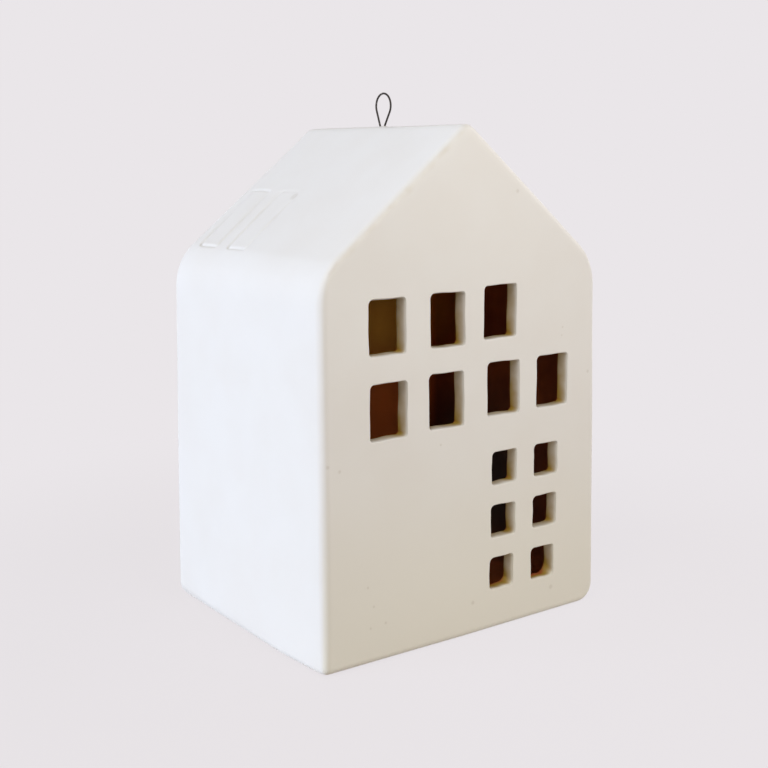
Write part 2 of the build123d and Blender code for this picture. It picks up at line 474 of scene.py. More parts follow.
@dataclass(frozen=True)
class CandleWax:
    """White paraffin wax: soft sheen, faint crystals and a slightly yellow depth."""

    white: Colour = paint(246, 243, 236)
    deep: Colour = paint(236, 230, 217)

    def make(self) -> bpy.types.Material:
        """Build the material: crystal clouds for colour and gloss, fine waves for height.

        Returns:
            The material.
        """
        bench = Bench("candle_wax")
        place = bench.place()
        crystals = bench.noise(place, 3.0, 5.0, 0.65)
        waves = bench.noise(place, 7.0, 1.0)
        return bench.surface({
            "Base Color": bench.blend(crystals.step(0.3, 0.7), self.white, self.deep),
            "Roughness": 0.34 + crystals * 0.16,
            "Subsurface Weight": 0.15,
            "Subsurface Radius": (0.004, 0.003, 0.002),
            "Subsurface Scale": 0.4,
            "Normal": bench.bump(waves * 0.8 + crystals * 0.2, 0.05),
        })


@dataclass(frozen=True)
class WickCotton:
    """Waxed braided cotton: two sets of strands that cross along the wick."""

    cotton: Colour = paint(236, 230, 216)
    # Painted shade for the hollows between the strands.
    shade: Colour = paint(196, 186, 166)

    def make(self) -> bpy.types.Material:
        """Build the material from the attribute braid, which is 1 on top of a strand.

        Returns:
            The material.
        """
        bench = Bench("wick_cotton")
        place = bench.place()
        braid = bench.attribute("braid")
        fibres = bench.noise(bench.stretched(place, (4.0, 4.0, 1.0)), 0.3, 3.0)
        return bench.surface({
            # Painted shade: the hollows between strands take the darker colour.
            "Base Color": bench.blend(braid * 0.7 + fibres * 0.3, self.shade, self.cotton),
            "Roughness": 0.68 - braid * 0.1,
            "Normal": bench.bump(fibres, 0.04),
        })


@dataclass(frozen=True)
class Tinplate:
    """Tinned steel sheet: bright spangles with soft edges."""

    light: Colour = paint(205, 206, 208)
    grey: Colour = paint(168, 169, 172)

    def make(self) -> bpy.types.Material:
        """Build the material: spangles for colour and gloss.

        Returns:
            The material.
        """
        bench = Bench("sustainer_tinplate")
        place = bench.place()
        spangle = bench.noise(place, 1.2, 3.0)
        return bench.surface({
            "Base Color": bench.blend(spangle.step(0.4, 0.6), self.light, self.grey),
            "Roughness": 0.3 + spangle * 0.15,
            "Metallic": 1.0,
            "Normal": bench.bump(spangle, 0.01),
        })


# Meshes from grids of points


@dataclass
class Sheet:
    """A grid of points, rows by columns, with one number for each point."""

    points: np.ndarray
    marks: np.ndarray
    closed: bool = False

    def faces(self, first: int) -> np.ndarray:
        """Quads between neighbouring rows and columns.

        The point in row i and column j has the number first + i * columns + j, and a closed
        sheet joins its last column to its first.

        Args:
            first: Number of the sheet's first point.

        Returns:
            One row of four point numbers for each quad.
        """
        rows, columns = self.points.shape[:2]
        across = np.arange(columns if self.closed else columns - 1)
        down = np.arange(rows - 1)[:, None]
        beside = (across + 1) % columns
        here = first + down * columns + across
        right = first + down * columns + beside
        return np.stack([here, right, right + columns, here + columns], axis=-1).reshape(-1, 4)


def make_piece(
    name: str, sheets: Sequence[Sheet], mark: str | None = None, weld: float = 0.002
) -> bpy.types.Object:
    """Join sheets into one closed mesh whose faces point outwards.

    Args:
        name: Name of the piece.
        sheets: Grids of points in millimetres, which meet at shared points.
        mark: Name under which the sheets' numbers are stored, if they are.
        weld: Distance within which points become one, in millimetres.

    Returns:
        The new object, at the origin.
    """
    points = np.concatenate([sheet.points.reshape(-1, 3) for sheet in sheets]) * METRES
    starts = np.cumsum([0] + [sheet.marks.size for sheet in sheets])
    faces = np.concatenate([sheet.faces(int(start)) for sheet, start in zip(sheets, starts)])

    mesh = bpy.data.meshes.new(name)
    mesh.from_pydata(points, [], faces)
    if mark:
        marks = np.concatenate([sheet.marks.reshape(-1) for sheet in sheets]).astype(np.float32)
        mesh.attributes.new(mark, "FLOAT", "POINT").data.foreach_set("value", marks)
    work = bmesh.new()
    work.from_mesh(mesh)
    bmesh.ops.remove_doubles(work, verts=work.verts, dist=weld * METRES)
    bmesh.ops.dissolve_degenerate(work, edges=work.edges, dist=1e-8)
    bmesh.ops.recalc_face_normals(work, faces=work.faces)
    work.to_mesh(mesh)
    work.free()
    mesh.polygons.foreach_set("use_smooth", np.ones(len(mesh.polygons), dtype=bool))
    mesh.update()

    piece = bpy.data.objects.new(name, mesh)
    bpy.context.scene.collection.objects.link(piece)
    return piece


def read_points(mesh: bpy.types.Mesh) -> np.ndarray:
    """Read the points of a mesh.

    Args:
        mesh: The mesh.

    Returns:
        Points in millimetres, one row each.
    """
    flat = np.empty(len(mesh.vertices) * 3, dtype=np.float32)
    mesh.vertices.foreach_get("co", flat)
    return flat.reshape(-1, 3) / METRES


def write_points(mesh: bpy.types.Mesh, points: np.ndarray) -> None:
    """Put points in millimetres back into a mesh."""
    mesh.vertices.foreach_set("co", (points * METRES).astype(np.float32).reshape(-1))
    mesh.update()


def read_normals(mesh: bpy.types.Mesh) -> np.ndarray:
    """Read the outward directions at the points of a mesh.

    Args:
        mesh: The mesh.

    Returns:
        Directions, one row each.
    """
    flat = np.empty(len(mesh.vertices) * 3, dtype=np.float32)
    mesh.vertex_normals.foreach_get("vector", flat)
    return flat.reshape(-1, 3)


def dress(piece: bpy.types.Object, material: bpy.types.Material) -> None:
    """Give a piece its one finish."""
    piece.data.materials.clear()
    piece.data.materials.append(material)


def carry(piece: bpy.types.Object, body: str, slot: str, *nodes: str) -> None:
    """Fasten a finished piece to its body and hide the solids that it stands for.

    Args:
        piece: The piece.
        body: Name of the body that it moves with.
        slot: Name of the material slot; not used.
        nodes: Names of the solids that it replaces.
    """
    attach(piece, body)
    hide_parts(*nodes)
    triangles = sum(len(face.vertices) - 2 for face in piece.data.polygons)
    log.info("%s on %s: %d triangles", piece.name, body, triangles)


# Lines and outlines


def between(
    first: np.ndarray | float, second: np.ndarray | float, share: np.ndarray | float
) -> np.ndarray | float:
    """The first at share 0, the second at share 1, and straight between them."""
    return first * (1 - share) + second * share


@dataclass(frozen=True)
class Crowd:
    """A place along a line where stations lie closer together."""

    place: float
    reach: float
    gain: float


def spread(count: int, length: float, crowds: Sequence[Crowd]) -> np.ndarray:
    """Stations along a line, closer together at its crowds.

    The density is 1 plus, for each crowd, gain * exp(-((t - place) / reach)^6), and the stations
    lie where its running total passes equal steps.

    Args:
        count: Number of steps.
        length: Length of the line.
        crowds: Places measured along that length.

    Returns:
        The stations as shares of the length, from 0 to 1.
    """
    samples = 6001
    along = np.linspace(0.0, length, samples)
    density = np.ones_like(along)
    for crowd in crowds:
        density = density + crowd.gain * np.exp(-(((along - crowd.place) / crowd.reach) ** 6))
    total = np.concatenate([[0.0], np.cumsum((density[1:] + density[:-1]) / 2)])
    return np.interp(np.linspace(0.0, total[-1], count + 1), total, along) / length


def rounded_corners(corners: np.ndarray, radii: np.ndarray, steps: int) -> np.ndarray:
    """Arcs that round the corners of a closed outline, walked with its inside on the left.

    At a corner with turn a and radius r the arc starts r * tan(a / 2) before the corner. Its
    centre is r to the left of the way in, and its points turn about that centre from 0 to a.

    Args:
        corners: Corner points, one row each.
        radii: Radius at each corner.
        steps: Steps in each arc.

    Returns:
        Points of the arcs: corners by steps + 1 by 2.
    """
    way_in = corners - np.roll(corners, 1, axis=0)
    way_in = way_in / np.linalg.norm(way_in, axis=1, keepdims=True)
    way_out = np.roll(way_in, -1, axis=0)
    turned_left = way_in[:, 0] * way_out[:, 1] - way_in[:, 1] * way_out[:, 0]
    turn = np.arctan2(turned_left, np.sum(way_in * way_out, axis=1))
    left = np.stack([-way_in[:, 1], way_in[:, 0]], axis=1)
    start = corners - way_in * (radii * np.tan(turn / 2))[:, None]
    centre = start + left * radii[:, None]
    angle = turn[:, None] * np.linspace(0.0, 1.0, steps + 1)
    spoke = (start - centre)[:, None, :]
    across = spoke[..., 0] * np.cos(angle) - spoke[..., 1] * np.sin(angle)
    up = spoke[..., 0] * np.sin(angle) + spoke[..., 1] * np.cos(angle)
    return centre[:, None, :] + np.stack([across, up], axis=-1)


def running_length(track: np.ndarray) -> np.ndarray:
    """Length along a track of points, 0 at the first of them."""
    return np.concatenate([[0.0], np.cumsum(np.linalg.norm(np.diff(track, axis=0), axis=1))])


def along_track(track: np.ndarray, lengths: np.ndarray) -> np.ndarray:
    """Points of a track at given lengths along it, straight between its own points."""
    run = running_length(track)
    return np.stack([np.interp(lengths, run, track[:, axis]) for axis in range(track.shape[1])], axis=-1)


# House


@dataclass(frozen=True)
class HouseForm:
    """Sizes of the casting's outer form, the same as the solids have."""

    height: float = 130.0
    eave_height: float = 94.5
    base_width: float = 91.5
    eave_width: float = 88.5
    base_depth: float = 72.0
    top_depth: float = 68.6

    @property
    def pitch(self) -> float:
        """Angle of the roof slopes in radians."""
        return math.atan2(self.height - self.eave_height, self.eave_width / 2)

    @property
    def lean(self) -> float:
        """How far a side wall leans in for each millimetre of height."""
        return (self.base_width - self.eave_width) / 2 / self.eave_height

    def front(self, z: np.ndarray) -> np.ndarray:
        """Y of the leaning front at a height."""
        return -self.base_depth / 2 + (self.base_depth - self.top_depth) / 2 / self.height * z

    def corners(self, inset: float, floor_level: float) -> np.ndarray:
        """Corners of the gable outline an inset inside the outer one, cut off at a floor.

        Args:
            inset: How far every wall and slope lies inside the outer one.
            floor_level: Height of the bottom line.

        Returns:
            Left foot, right foot, right eave, crest and left eave, in X and Z.
        """
        slope = math.tan(self.pitch)
        crest = self.height - inset / math.cos(self.pitch)
        foot = self.base_width / 2 - inset * math.hypot(1.0, self.lean)
        eave = (foot - self.lean * crest) / (1.0 - self.lean * slope)
        floor = foot - self.lean * floor_level
        eave_z = crest - slope * eave
        return np.array([
            [-floor, floor_level], [floor, floor_level], [eave, eave_z], [0.0, crest], [-eave, eave_z],
        ])


@dataclass(frozen=True)
class Radii:
    """Radii of a skin's roundings. The left foot has one at the front and one at the back."""

    foot: float
    left_feet: Span
    eave: float
    crest: float
    edge: float


@dataclass(frozen=True)
class Skin:
    """One skin of the casting, outer or inner, as loops round the gable outline."""

    form: HouseForm
    inset: float
    floor_level: float
    radii: Radii
    stations: tuple[np.ndarray, ...]
    arc_steps: int = 32

    def loop(self, further: float = 0.0, near: bool = False) -> np.ndarray:
        """Points round the outline, a further inset inside this skin.

        The outline is five chains between the middles of its rounded corners, and each chain
        has the same stations at every inset, so that loops match point for point.

        Args:
            further: Further inset.
            near: True at the front, where the left foot has its own radius.

        Returns:
            Points in X and Z, from the left foot along the bottom, up the right side and over.
        """
        corners = self.form.corners(self.inset + further, self.floor_level + further)
        own = self.radii
        left_foot = own.left_feet[0 if near else 1]
        radii = np.array([left_foot, own.foot, own.eave, own.crest, own.eave]) - further
        arcs = rounded_corners(corners, radii, self.arc_steps)
        half = self.arc_steps // 2
        chains = []
        for arc, next_arc, stations in zip(arcs, np.roll(arcs, -1, axis=0), self.stations):
            track = np.concatenate([arc[half:], next_arc[:half + 1]])
            chains.append(along_track(track, stations[:-1] * running_length(track)[-1]))
        return np.concatenate(chains)


@dataclass(frozen=True)
class Cut:
    """One opening, cut by hand into the front.

    Strays say how far its centre lies from its column and row, and growths how much wider and
    higher it is than its kind, all as shares of the hand's wander. Gathered is the radius that
    thick glaze adds to the lower right corner inside, and bare how far the glaze left its sill.
    """

    column: int
    row: int
    stray_shares: Span
    growth_shares: Span
    corner_shares: tuple[float, float, float, float]
    phase: float
    gathered: float = 0.5
    bare: float = 0.0


@dataclass(frozen=True)
class CutGroup:
    """Openings of one kind: their size, first centre, pitches, and first cell in the front."""

    size: Span
    first: Span
    pitches: Span
    first_row: int
    first_column: int
    cuts: tuple[Cut, ...]

    def cell(self, cut: Cut) -> tuple[int, int]:
        """Row and column of the cell that an opening lies in."""
        return self.first_row + cut.row, self.first_column + cut.column


@dataclass(frozen=True)
class CutEdge:
    """Roundings and slants of every opening, and how it is divided."""

    wander: float = 0.9
    corner: float = 0.95
    lip: float = 0.30
    inner_lip: float = 0.22
    taper: float = 0.22
    slant_right: float = 0.32
    slant_sill: float = 0.11
    waver: float = 0.07
    arc_steps: int = 4
    counts: tuple[int, int] = (20, 16)
    outer_cover: float = 0.97
    inner_cover: float = 0.12

    def outline(
        self, group: CutGroup, cut: Cut, offset: np.ndarray | float, inward: float = 0.0
    ) -> np.ndarray:
        """Closed outline of an opening at offsets outside its clear size.

        Each side runs from the middle of one rounded corner to the middle of the next. A small
        waver, a sum of two sines of the angle about the centre, moves it in and out, and grows
        by half on the way in. The lower right corner fills with gathered glaze on the way in,
        and the slant of the knife leaves more clay on the right side and less on the sill.

        Args:
            group: The opening's kind.
            cut: The opening.
            offset: Offset of each point outside the clear size.
            inward: Share of the way from the outer to the inner face.

        Returns:
            Points in X and Z, from the lower left corner along the bottom and round.
        """
        stray, growth = np.array(cut.stray_shares), np.array(cut.growth_shares)
        steps_away = np.array([cut.column, cut.row]) * group.pitches
        centre = np.array(group.first) + steps_away + stray * self.wander
        half = (np.array(group.size) + growth * self.wander) / 2
        signs = np.array([[-1.0, -1.0], [1.0, -1.0], [1.0, 1.0], [-1.0, 1.0]])
        radii = np.array(cut.corner_shares) * self.corner
        radii[1] += cut.gathered * inward
        middles = signs * (half - radii[:, None])
        points, normals = [], []
        bend = np.linspace(0.0, math.pi / 4, self.arc_steps + 1)
        for side in range(4):
            facing = (side - 1) * math.pi / 2
            following = (side + 1) % 4
            straight = self.counts[side % 2] - 2 * self.arc_steps
            angles = np.concatenate([
                facing - bend[::-1], np.full(straight - 1, facing), facing + bend[:-1],
            ])
            share = np.concatenate([
                np.zeros(self.arc_steps + 1),
                np.linspace(0.0, 1.0, straight + 1)[1:-1],
                np.ones(self.arc_steps),
            ])[:, None]
            way = np.stack([np.cos(angles), np.sin(angles)], axis=-1)
            radius = between(radii[side], radii[following], share)
            points.append(between(middles[side], middles[following], share) + way * radius)
            normals.append(way)
        outline = np.concatenate(points)
        around = np.arctan2(outline[:, 1] / half[1], outline[:, 0] / half[0])
        waves = np.sin(2 * around + cut.phase) + 0.6 * np.sin(5 * around - 2 * cut.phase)
        waver = self.waver * (1 + 0.5 * inward) * waves
        ways = np.concatenate(normals)
        left_over = (
            self.slant_right * np.maximum(ways[:, 0], 0.0) - self.slant_sill * np.maximum(-ways[:, 1], 0.0)
        )
        return centre + outline + ways * (offset + waver - inward * left_over)[:, None]

    def turns(self, corner: int) -> np.ndarray:
        """Share of a turn in radians from a corner of an outline to each of its points.

        Args:
            corner: Number of the corner: 0 at the lower left, 1 at the lower right and so on.

        Returns:
            An angle for each point, 0 at the corner.
        """
        count = 2 * sum(self.counts)
        first = sum((self.counts * 2)[:corner])
        return (np.arange(count) - first) * 2 * math.pi / count

    def lip_sizes(self) -> np.ndarray:
        """Radius of the outer lip round an opening, lip * (1 + 0.35 * cos of the top left turn)."""
        return self.lip * (1 + 0.35 * np.cos(self.turns(3)))

    def reveal_cover(self, cut: Cut, inward: float) -> np.ndarray:
        """Cover of glaze round a reveal, thinner on the way in, in the low corner and on a sill.

        With s the share of the way in it is 0.97 - 0.2 (1 - exp(-s / 0.12)) - 0.12 s, less
        0.25 s * exp(-(t / 0.45)^2) at the angle t from the lower right corner, less bare * s *
        sin of the way along the sill.

        Args:
            cut: The opening.
            inward: Share of the way from the outer to the inner face.

        Returns:
            The cover at each point of the opening's outline.
        """
        turn = (self.turns(1) + math.pi) % (2 * math.pi) - math.pi
        along_sill = np.clip(np.arange(len(turn)) / self.counts[0], 0.0, 1.0)
        thinned = 0.12 + 0.25 * np.exp(-((turn / 0.45) ** 2)) + cut.bare * np.sin(math.pi * along_sill)
        return self.outer_cover - 0.2 * (1 - math.exp(-inward / 0.12)) - inward * thinned


@dataclass(frozen=True)
class Skylights:
    """Window outlines pressed into the left slope, as soft grooves, deeper along the slope."""

    width: float = 8.7
    length: float = 22.4
    from_crest: float = 28.0
    first_y: float = 11.35
    pitch: float = 14.5
    count: int = 2
    corner: float = 1.0
    groove: float = 0.42
    side_depth: float = 0.40
    end_depth: float = 0.18
    low_end_share: float = 1.5
    ridge: float = 0.04
    lean: float = 1.3

    def centre_y(self, number: int) -> float:
        """Y of the middle of a skylight's upper end."""
        return self.first_y + number * self.pitch

    def depth_at(self, down: np.ndarray, y: np.ndarray) -> np.ndarray:
        """How far the slope is pressed in.

        With d the distance from the outline of the nearest skylight, the depth is
        depth * exp(-(d / groove)^2), less a small ridge of displaced clay beside the groove,
        ridge * exp(-((|d| - 2 groove) / groove)^2). The lean carries the lower end of each
        skylight towards the front. The grooves fade to 0.6 of their depth towards the front,
        the lower ends are pressed half as deep again as the upper ones, and the upper end of
        the nearer skylight is nearly gone.

        Args:
            down: Distance down the slope from the line where the slopes would meet.
            y: Place along the ridge.

        Returns:
            The depth at each point.
        """
        middle = self.from_crest + self.length / 2
        low_end = np.where(down > middle, self.low_end_share, 1.0)
        near_top = np.exp(-(((down - self.from_crest) / 3.0) ** 2)) * np.clip((17.0 - y) / 4.0, 0.0, 1.0)
        firmness = np.clip(0.6 + (y - 7.0) / 21.0, 0.6, 1.0) * (1 - 0.8 * near_top)
        pressed = np.zeros(np.broadcast(down, y).shape)
        for number in range(self.count):
            centre_y = self.centre_y(number) - self.lean * (down - self.from_crest) / self.length
            reach_down = np.abs(down - self.from_crest - self.length / 2) - self.length / 2 + self.corner
            reach_y = np.abs(y - centre_y) - self.width / 2 + self.corner
            outside = np.hypot(np.maximum(reach_down, 0.0), np.maximum(reach_y, 0.0))
            inside = np.minimum(np.maximum(reach_down, reach_y), 0.0)
            distance = outside + inside - self.corner
            beside = 1 / (1 + np.exp(np.clip((reach_down - reach_y) / 0.4, -40.0, 40.0)))
            depth = self.end_depth * low_end * (1 - beside) + self.side_depth * beside
            trough = depth * firmness * np.exp(-((distance / self.groove) ** 2))
            shoulder = self.ridge * np.exp(-(((np.abs(distance) - 2 * self.groove) / self.groove) ** 2))
            pressed = pressed + trough - shoulder
        return pressed


@dataclass(frozen=True)
class Doorway:
    """Arched opening in the back, level with the floor inside."""

    width: float = 52.0
    height: float = 38.0
    sill: float = 4.28
    lip: float = 0.8
    inner_lip: float = 0.4
    least: float = 0.02
    arch_points: int = 241
    slack: float = 1e-6

    @property
    def spring(self) -> float:
        """Height of the arch's centre."""
        return self.sill + self.height - self.width / 2

    def track(self) -> np.ndarray:
        """Outline from the middle of the sill, up the right side and over the arch.

        Returns:
            Many points in X and Z.
        """
        half = self.width / 2
        turn = np.linspace(0.0, math.pi, self.arch_points)
        arch = np.stack([half * np.cos(turn), self.spring + half * np.sin(turn)], axis=-1)
        ends = np.array([[0.0, self.sill], [half, self.sill]])
        return np.concatenate([ends, arch, ends[::-1] * np.array([-1.0, 1.0])])

    def match(self, loop: np.ndarray) -> tuple[np.ndarray, np.ndarray, np.ndarray]:
        """Points of the doorway that belong to the points of a loop round the house.

        Below the sill the two go side by side. Elsewhere the share of the way over the arch is
        the share of the way round the loop, from the corner of the sill to the crest.

        Args:
            loop: Loop round the house in X and Z, from the left foot on.

        Returns:
            The points, their outward directions, and where a point is on the sill.
        """
        half = self.width / 2
        track = self.track()
        run = running_length(np.concatenate([loop, loop[:1]]))
        bottom = np.flatnonzero(loop[:, 1] <= loop[:, 1].min() + self.slack)
        zero = float(np.interp(0.0, loop[bottom, 0], run[bottom]))
        way = (run[:-1] - zero) % run[-1]
        right, left = (way[bottom[np.argmin(np.abs(loop[bottom, 0] - side * half))]] for side in (1, -1))
        crest = way[np.argmax(loop[:, 1])]
        total = running_length(track)[-1]
        goals = [0.0, half, total / 2, total - half, total]
        lengths = np.interp(way, [0.0, right, crest, left, run[-1]], goals)
        points = along_track(track, lengths)

        sideways = np.sign(points) * np.array([1.0, 0.0])
        downwards = np.array([0.0, -1.0])
        above = points[:, 1] > self.spring
        out = np.where(above[:, None], points - np.array([0.0, self.spring]), sideways)
        on_sill = (lengths <= half + self.slack) | (lengths >= total - half - self.slack)
        corner = np.isclose(np.abs(points[:, 0]), half) & on_sill
        out = np.where((on_sill & ~corner)[:, None], downwards, out)
        out = out / np.maximum(np.linalg.norm(out, axis=1, keepdims=True), 1e-9)
        return points, np.where(corner[:, None], sideways + downwards, out), on_sill


@dataclass(frozen=True)
class Crowding:
    """Reach and gain of the crowds of stations at the features of the outer skin."""

    foot: Span = (5.0, 1.2)
    side_eave: Span = (7.0, 0.8)
    slope_eave: Span = (8.0, 0.6)
    crest: Span = (2.6, 3.5)
    skylight_end: Span = (1.2, 10.0)
    skylight_side: Span = (1.7, 9.0)
    wire: Span = (2.2, 5.0)


@dataclass(frozen=True)
class Settling:
    """How the casting is out of true at its near left corner."""

    eave_shift: float = 0.4
    further_foot_shift: float = 0.85
    shift_height: float = 90.0
    shift_depth: float = 18.0
    lift: float = 0.6
    lift_depth: float = 2.0
    lift_height: float = 12.0
    rounder_share: float = 0.3

    def moved(self, points: np.ndarray, depth: np.ndarray) -> np.ndarray:
        """Points after settling.

        The left wall stands in at the front, by 1.25 mm at the foot and 0.4 mm at the eave, and
        that fades over the first 18 mm of the depth d behind the front. The front's bottom edge
        rises to the left, by up to 0.6 mm * exp(-(d / 2)^2).

        Args:
            points: Points in millimetres.
            depth: Depth of each point behind the front.

        Returns:
            The moved points.
        """
        x, z = points[:, 0], points[:, 2]
        beside = np.clip((-34.0 - x) / 10.0, 0.0, 1.0) ** 2
        below = np.clip((106.0 - z) / 16.0, 0.0, 1.0)
        low = np.clip(1.0 - z / self.shift_height, 0.0, 1.0)
        near = np.clip(1.0 - depth / self.shift_depth, 0.0, 1.0)
        inwards = (self.eave_shift + self.further_foot_shift * low) * near
        to_left = np.clip((-2.0 - x) / 42.0, 0.0, 1.0)
        rise = self.lift * to_left * np.exp(-((depth / self.lift_depth) ** 2))
        moved = points.copy()
        moved[:, 0] += beside * below * inwards
        moved[:, 2] += rise * np.clip(1.0 - z / self.lift_height, 0.0, 1.0) ** 2
        return moved

    def edge_growth(self, loop: np.ndarray) -> np.ndarray:
        """Growth of the front's rounding round its loop: larger along the upright left edge.

        Args:
            loop: Loop round the front in X and Z.

        Returns:
            A factor for each point.
        """
        beside = np.clip((-36.0 - loop[:, 0]) / 6.0, 0.0, 1.0)
        upright = np.clip(loop[:, 1] / 8.0, 0.0, 1.0) * np.clip((100.0 - loop[:, 1]) / 12.0, 0.0, 1.0)
        return 1.0 + self.rounder_share * beside * upright


class Face(Enum):
    """Front or back of the house, with the side that it lies on."""

    FRONT = 1.0
    BACK = -1.0


Ring = tuple[np.ndarray, Union[np.ndarray, float], Union[np.ndarray, float]]


@dataclass(frozen=True)
class House:
    """The glazed casting: outer skin, inner skin, the cuts in its front and its doorway."""

    form: HouseForm = HouseForm()
    outer_radii: Radii = Radii(foot=5.0, left_feet=(2.0, 4.6), eave=14.5, crest=3.5, edge=1.8)
    inner_radii: Radii = Radii(foot=5.0, left_feet=(5.0, 5.0), eave=11.0, crest=3.0, edge=2.5)
    edge: CutEdge = CutEdge()
    skylights: Skylights = Skylights()
    doorway: Doorway = Doorway()
    crowding: Crowding = Crowding()
    settling: Settling = Settling()
    wall: float = 3.3
    floor: float = 4.2
    wire_y: float = 0.6
    wire_beads: tuple[Span, ...] = ((-0.325, 0.34), (1.525, 0.22))
    bead_radius: float = 0.6
    bare_foot: float = 0.02
    foot_fade: float = 0.15
    roof_right_steps: int = 32
    depth_steps: int = 96
    inner_depth_steps: int = 16
    front_steps: int = 16
    front_lining_steps: int = 5
    back_steps: int = 12
    back_lining_steps: int = 6
    swell: float = 0.22
    # How far the cover falls in the painted shade along the front edge of the left slope and wall.
    drawn: float = 0.15
    edge_shade_wall_share: float = 0.45
    windows: CutGroup = CutGroup(
        (10.6, 13.1), (-25.2, 63.15), (18.0, 19.7), 4, 0,
        (
            Cut(0, 0, (0.45, -1.35), (0.20, 0.45), (0.7, 0.8, 0.9, 1.3), 0.4),
            Cut(1, 0, (0.15, -0.80), (0.15, 0.65), (0.8, 0.7, 0.8, 1.5), 2.1),
            Cut(2, 0, (0.95, 0.40), (0.10, 0.50), (0.7, 0.9, 0.7, 1.2), 3.3),
            Cut(3, 0, (-0.15, 0.50), (0.35, 0.40), (0.9, 0.8, 0.8, 1.3), 5.0),
            Cut(0, 1, (0.30, -1.00), (-0.10, 0.10), (0.8, 0.7, 0.9, 1.4), 1.2),
            Cut(1, 1, (0.65, -0.70), (0.05, 0.00), (0.7, 0.8, 0.8, 1.3), 4.2),
            Cut(2, 1, (-0.50, 0.25), (0.15, 0.25), (0.8, 0.7, 0.7, 1.2), 0.0),
        ),
    )
    panes: CutGroup = CutGroup(
        (8.1, 8.2), (11.35, 15.3), (14.75, 13.85), 0, 2,
        (
            Cut(0, 0, (-0.05, -0.35), (-0.35, 0.10), (0.9, 0.8, 0.9, 1.4), 1.0, 1.6, 0.30),
            Cut(1, 0, (-0.25, -0.60), (-0.15, 0.40), (0.8, 0.9, 0.8, 1.3), 2.7, 2.4, 0.55),
            Cut(0, 1, (0.50, -0.35), (0.10, 0.20), (0.7, 0.8, 0.9, 1.2), 3.9),
            Cut(1, 1, (0.40, -0.30), (0.30, 0.30), (0.8, 0.9, 0.8, 1.4), 5.3),
            Cut(0, 2, (0.80, -0.20), (0.05, 0.40), (0.9, 0.8, 0.7, 1.2), 0.7),
            Cut(1, 2, (0.70, -0.30), (0.25, 0.25), (0.8, 0.7, 0.8, 1.3), 4.6),
        ),
    )
    column_lines: tuple[tuple[float, ...], ...] = (
        (-33.5, -16.0, 4.2, 18.9, 33.8),
        (-33.5, -16.0, 4.2, 18.9, 33.8),
        (-33.6, -16.0, 4.2, 18.9, 34.0),
        (-33.7, -16.1, 3.6, 19.1, 34.6),
        (-33.8, -16.1, 2.3, 19.8, 36.6),
        (-33.9, -16.1, 1.9, 19.9, 37.0),
        (-33.4, -16.1, 1.9, 19.3, 35.2),
    )
    row_lines: tuple[float, ...] = (8.6, 22.2, 36.1, 50.4, 53.7, 73.0, 91.9)

    @property
    def cells(self) -> tuple[int, int]:
        """Rows and columns of cells in the front."""
        return len(self.row_lines) - 1, len(self.column_lines[0]) - 1

    def stations(self) -> tuple[np.ndarray, ...]:
        """Stations of the five chains round the gable: bottom, right, two slopes and left.

        Returns:
            Shares of each chain's length.
        """
        rows, columns = self.cells
        bottom_steps, side_steps = columns * self.edge.counts[0], rows * self.edge.counts[1]
        crest_arc = self.outer_radii.crest * self.form.pitch
        crest_cut = self.outer_radii.crest * math.tan(self.form.pitch)
        base, side = self.form.base_width, self.form.eave_height
        slope = crest_arc + self.form.eave_width / 2 / math.cos(self.form.pitch) - crest_cut - 0.5
        top_end = self.skylights.from_crest - crest_cut + crest_arc
        low_end = top_end + self.skylights.length
        near = self.crowding
        return (
            spread(bottom_steps, base, (Crowd(0.0, *near.foot), Crowd(base, *near.foot))),
            spread(side_steps, side, (Crowd(0.0, *near.foot), Crowd(side, *near.side_eave))),
            spread(self.roof_right_steps, slope, (Crowd(0.0, *near.slope_eave), Crowd(slope, *near.crest))),
            spread(bottom_steps - self.roof_right_steps, slope, (
                Crowd(0.0, *near.crest),
                Crowd(top_end, *near.skylight_end),
                Crowd(low_end, *near.skylight_end),
            )),
            spread(side_steps, side, (Crowd(0.0, *near.side_eave), Crowd(side, *near.foot))),
        )

    def depth_stations(self) -> np.ndarray:
        """Stations from front to back, closer together at the skylights and the wire's legs.

        Returns:
            Shares of the depth.
        """
        middle = self.form.top_depth / 2
        crowds = [Crowd(middle + self.wire_y, *self.crowding.wire)]
        for number in range(self.skylights.count):
            centre = middle + self.skylights.centre_y(number) - self.skylights.lean / 2
            for side in (centre - self.skylights.width / 2, centre + self.skylights.width / 2):
                crowds.append(Crowd(side, *self.crowding.skylight_side))
        return spread(self.depth_steps, self.form.top_depth, crowds)

    def outer_skin(self) -> Skin:
        """The glazed outer skin."""
        return Skin(self.form, 0.0, 0.0, self.outer_radii, self.stations())

    def inner_skin(self) -> Skin:
        """The bare inner skin."""
        return Skin(self.form, self.wall, self.floor, self.inner_radii, self.stations())

    def corner(self, row: int, column: int) -> np.ndarray:
        """Corner of the cells in the front, in X and Z, by its row and column."""
        return np.array([self.column_lines[row][column], self.row_lines[row]])

    def border(self, row: int, column: int, rows: int = 1, columns: int = 1) -> np.ndarray:
        """Border of a block of cells in the front.

        Args:
            row: Its lowest row.
            column: Its left column.
            rows: How many rows it has.
            columns: How many columns it has.

        Returns:
            Points in X and Z, from the lower left corner along the bottom and round.
        """
        walk = [(row, column + number) for number in range(columns)]
        walk += [(row + number, column + columns) for number in range(rows)]
        walk += [(row + rows, column + columns - number) for number in range(columns)]
        walk += [(row + rows - number, column) for number in range(rows)]
        corners = np.stack([self.corner(*place) for place in walk])
        steps = ([self.edge.counts[0]] * columns + [self.edge.counts[1]] * rows) * 2
        sides = [
            between(start, end, np.linspace(0.0, 1.0, count + 1)[:-1, None])
            for start, end, count in zip(corners, np.roll(corners, -1, axis=0), steps)
        ]
        return np.concatenate(sides)

